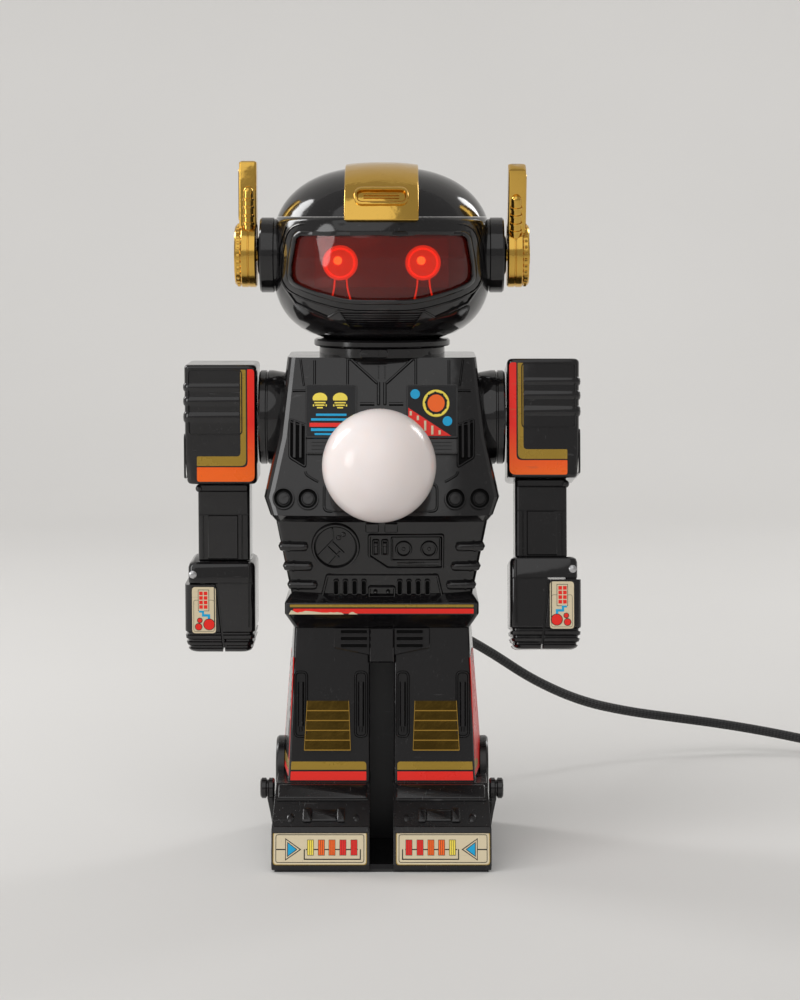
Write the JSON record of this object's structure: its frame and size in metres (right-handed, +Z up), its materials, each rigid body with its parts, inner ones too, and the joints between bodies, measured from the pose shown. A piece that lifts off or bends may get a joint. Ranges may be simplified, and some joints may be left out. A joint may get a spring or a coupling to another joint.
{
  "type": "desk lamp",
  "caption": "Robot-shaped desk lamp: standing plastic robot with a round opal bulb in its chest, swinging arms, tilting antennas, turning head and a braided mains cord with inline switch.",
  "frame": {"origin": "on the surface that the lamp stands on, under the middle of the neck, on the lower face of the rubber sole", "axes": "+Z up, the front of the robot with its bulb faces -Y, +X is the right-hand side of someone who faces the robot"},
  "size_m": [0.4368, 0.2742, 0.2866],
  "materials": {
    "black_plastic": "moulded high gloss black styrene, fine scuffs",
    "gold_plating": "vacuum plated gold on plastic, bright",
    "red_visor": "clear red moulded acrylic",
    "red_lamp": "red tinted lamp cap",
    "circuit_board": "phenolic board",
    "opal_glass": "opal white glass, glossy",
    "steel": "zinc plated steel",
    "black_rubber": "matt rubber sheet",
    "satin_plastic": "satin black moulding",
    "woven_cord": "black braided textile sleeve"
  },
  "bodies": {
    "stand": {"bulb_cap": "steel", "bulb_globe": "opal_glass", "cable_gland": "satin_plastic", "case_screws": "steel", "cord_coil": "woven_cord", "cord_lead": "woven_cord", "cord_link": "woven_cord", "cord_tail": "woven_cord", "foot_ballast": "steel", "foot_cover_left": "black_plastic", "foot_cover_right": "black_plastic", "foot_levers": "black_plastic", "gland_nut": "steel", "holder_bracket": "steel", "lamp_collar": "black_plastic", "lamp_holder": "satin_plastic", "leg_grilles": "gold_plating", "legs_front_shell": "black_plastic", "legs_rear_shell": "black_plastic", "neck_drum": "black_plastic", "plug_body": "satin_plastic", "plug_pins": "steel", "rear_hatch": "black_plastic", "shoulder_cup_left": "black_plastic", "shoulder_cup_right": "black_plastic", "sole_pad": "black_rubber", "sole_plate": "steel", "switch_body": "satin_plastic", "terminal_block": "satin_plastic", "torso_front_shell": "black_plastic", "torso_rear_shell": "black_plastic", "waist_belt": "black_plastic"},
    "head": {"head_dome": "black_plastic", "head_lower_shell": "black_plastic", "visor_lens": "red_visor", "eye_lamps": "red_lamp", "eye_board": "circuit_board", "crown_plate": "gold_plating", "ear_hub_left": "black_plastic", "ear_hub_right": "black_plastic", "antenna_pivots": "steel", "neck_flange": "black_plastic", "neck_retainer": "black_plastic"},
    "antenna_arm_left": {"antenna_left": "gold_plating"},
    "arm_left": {"upper_arm_left": "black_plastic", "arm_cover_left": "black_plastic", "forearm_left": "black_plastic", "palm_left": "black_plastic", "claw_pin_left": "steel", "shoulder_axle_left": "steel"},
    "grip_left": {"claw_left": "black_plastic"},
    "antenna_arm_right": {"antenna_right": "gold_plating"},
    "arm_right": {"upper_arm_right": "black_plastic", "arm_cover_right": "black_plastic", "forearm_right": "black_plastic", "palm_right": "black_plastic", "claw_pin_right": "steel", "shoulder_axle_right": "steel"},
    "grip_right": {"claw_right": "black_plastic"},
    "rocker": {"switch_rocker": "satin_plastic"}
  },
  "joints": [
    {"name": "head_turn", "type": "hinge", "parent": "stand", "child": "head", "pos_m": [0, 0, 0.21], "axis": [0, 0, 1], "range_deg": [-45, 45]},
    {"name": "antenna_left_tilt", "type": "hinge", "parent": "head", "child": "antenna_arm_left", "pos_m": [-0.0553, 0, 0.2477], "axis": [1, 0, 0], "range_deg": [-90, 90]},
    {"name": "antenna_right_tilt", "type": "hinge", "parent": "head", "child": "antenna_arm_right", "pos_m": [0.0553, 0, 0.2477], "axis": [1, 0, 0], "range_deg": [-110, 70]},
    {"name": "shoulder_left_swing", "type": "hinge", "parent": "stand", "child": "arm_left", "pos_m": [-0.0668, 0, 0.18], "axis": [-1, 0, 0], "range_deg": [-120, 120]},
    {"name": "shoulder_right_swing", "type": "hinge", "parent": "stand", "child": "arm_right", "pos_m": [0.0668, 0, 0.18], "axis": [-1, 0, 0], "range_deg": [-130, 110]},
    {"name": "claw_left_open", "type": "hinge", "parent": "arm_left", "child": "grip_left", "pos_m": [-0.0787, 0, 0.1155], "axis": [0, 1, 0], "range_deg": [0, 50]},
    {"name": "claw_right_open", "type": "hinge", "parent": "arm_right", "child": "grip_right", "pos_m": [0.0787, -0.0112, 0.11648], "axis": [0, -0.9848, 0.1736], "range_deg": [0, 50]},
    {"name": "rocker_tip", "type": "hinge", "parent": "stand", "child": "rocker", "pos_m": [0.264, 0.096, 0.01575], "axis": [1, 0, 0], "range_deg": [-8, 8]}
  ]
}
